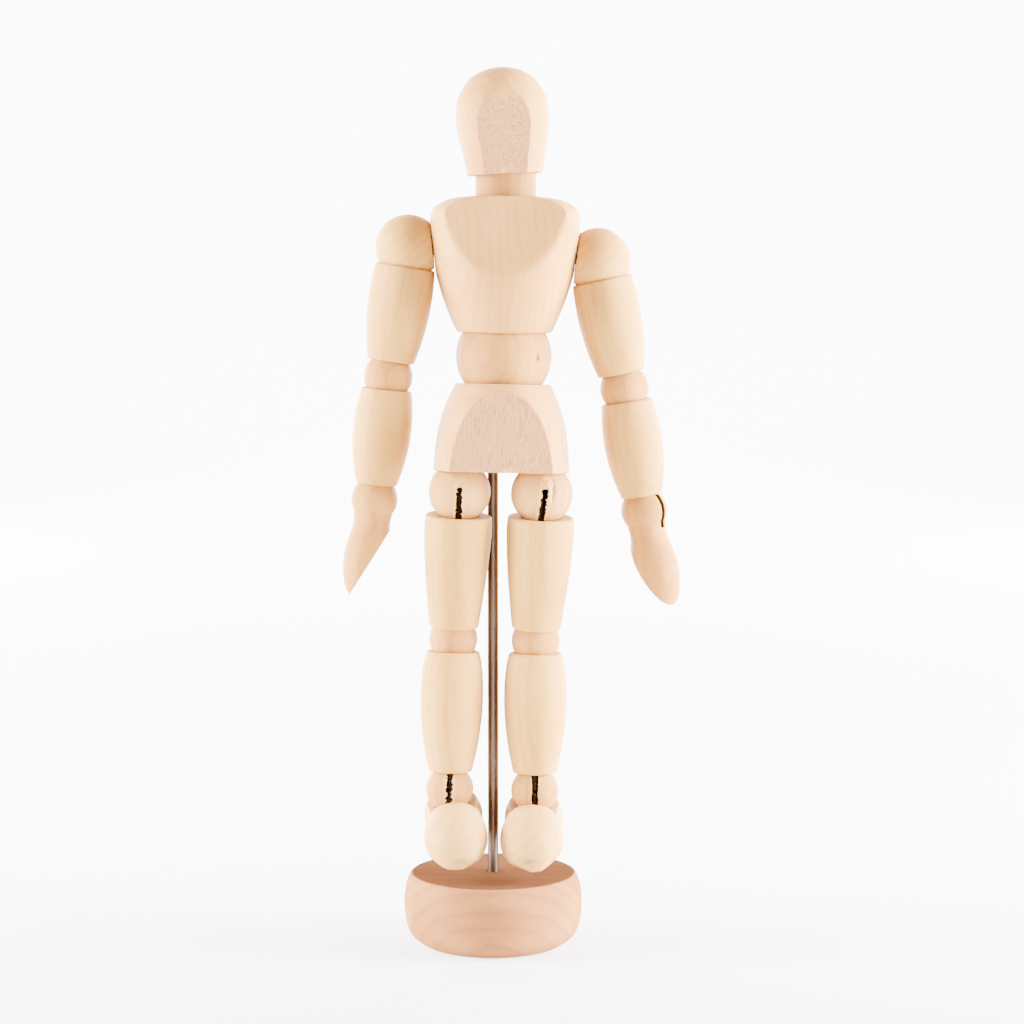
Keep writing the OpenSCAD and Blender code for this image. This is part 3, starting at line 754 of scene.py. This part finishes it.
def painted_sweep_glow():
    """White acrylic that glows with painted light, most on the wall, less on the table, least in front and towards
    the sides.
    """
    shader = Shader("painted_sweep_glow")
    place = shader.add("TexCoord").outputs["Object"]
    across, back, _ = shader.add("SeparateXYZ", Vector=place).outputs
    panel = shader.math("SUBTRACT", 1.0, shader.ramp(shader.math("ABSOLUTE", across), 0.35, 1.0))
    near = shader.ramp(back, -0.25, 0.2)
    near = shader.math("MULTIPLY_ADD", near, TABLE_GLOW - FRONT_GLOW, FRONT_GLOW)
    glow = shader.math("MULTIPLY_ADD", shader.ramp(back, 0.1, 1.2), WALL_GLOW - TABLE_GLOW, near)
    glow = shader.math("MULTIPLY", glow, shader.math("MULTIPLY_ADD", panel, 0.7, 0.3))
    far_front = shader.ramp(shader.math("MULTIPLY", back, -1.0), 0.4, 1.3)
    glow = shader.math("MULTIPLY_ADD", far_front, FAR_FRONT_GLOW, glow)
    return shader.finish(shader.add("BsdfPrincipled", Base_Color=(0.55, 0.55, 0.55, 1), Roughness=0.9,
                                    Specular_IOR_Level=0.1, Emission_Color=(1, 1, 1, 1),
                                    Emission_Strength=glow))


def add_room():
    """An acrylic sweep that glows with painted light: a table that curves up into a wall behind the figure."""
    profile = [(-ROOM_HALF_WIDTH, 0.0), (CURVE_START, 0.0)]
    for k in range(1, CURVE_STEPS + 1):
        angle = math.radians(90 * k / CURVE_STEPS)
        profile.append((CURVE_START + CURVE_RADIUS * math.sin(angle), CURVE_RADIUS * (1 - math.cos(angle))))
    profile.append((CURVE_START + CURVE_RADIUS, WALL_TOP))
    verts = [(x, y, z) for y, z in profile for x in (-ROOM_HALF_WIDTH, ROOM_HALF_WIDTH)]
    faces = [(2 * i, 2 * i + 1, 2 * i + 3, 2 * i + 2) for i in range(len(profile) - 1)]
    mesh = bpy.data.meshes.new("sweep")
    mesh.from_pydata(verts, [], faces)
    mesh.shade_smooth()
    mesh.materials.append(painted_sweep_glow())
    add_object("sweep", mesh)


def add_light(name, place, size, power):
    """A soft box that faces the figure."""
    data = bpy.data.lights.new(name, "AREA")
    data.shape = "RECTANGLE"
    data.size, data.size_y = size
    data.energy = power
    lamp = bpy.data.objects.new(name, data)
    lamp.location = place
    lamp.rotation_euler = (Vector(FIGURE_MIDDLE) - Vector(place)).to_track_quat("-Z", "Y").to_euler()
    bpy.context.scene.collection.objects.link(lamp)


def add_lights():
    add_light("right_box", (0.62, -0.08, 0.2), (0.36, 0.5), 82.0)
    add_light("left_box", (-0.62, -0.06, 0.2), (0.36, 0.5), 60.0)
    add_light("front_fill", (0.1, -0.95, 0.25), (0.5, 0.3), 4.0)
    add_light("back_right", (0.56, 0.75, 0.2), (0.4, 0.4), 36.0)
    add_light("back_left", (-0.56, 0.75, 0.2), (0.4, 0.4), 36.0)


def add_sky():
    """A white surround that is brightest at the horizon."""
    world = bpy.data.worlds.new("studio")
    world.use_nodes = True
    nodes, links = world.node_tree.nodes, world.node_tree.links
    background = nodes["Background"]
    background.inputs["Color"].default_value = (1, 1, 1, 1)
    direction = nodes.new("ShaderNodeTexCoord")
    height = nodes.new("ShaderNodeSeparateXYZ")
    fade = nodes.new("ShaderNodeMapRange")
    fade.inputs["From Min"].default_value = 0.05
    fade.inputs["From Max"].default_value = 0.5
    fade.inputs["To Min"].default_value = SKY_LOW
    fade.inputs["To Max"].default_value = SKY_HIGH
    links.new(direction.outputs["Generated"], height.inputs[0])
    links.new(height.outputs["Z"], fade.inputs["Value"])
    links.new(fade.outputs[0], background.inputs["Strength"])
    bpy.context.scene.world = world


def add_camera():
    data = bpy.data.cameras.new("camera")
    data.sensor_width = 36
    data.lens = CAMERA_LENS
    data.clip_start = 0.05
    camera = bpy.data.objects.new("camera", data)
    camera.location = CAMERA_PLACE
    camera.rotation_euler = (math.radians(90 - CAMERA_DOWN), 0, 0)
    bpy.context.scene.collection.objects.link(camera)
    bpy.context.scene.camera = camera


for piece_name in GRAIN:
    wood_piece(piece_name)
add_trunk_springs()
for limb_side in SIDES:
    add_arm_springs(limb_side)
    add_leg_springs(limb_side)
add_metal()
add_room()
add_lights()
add_sky()
add_camera()
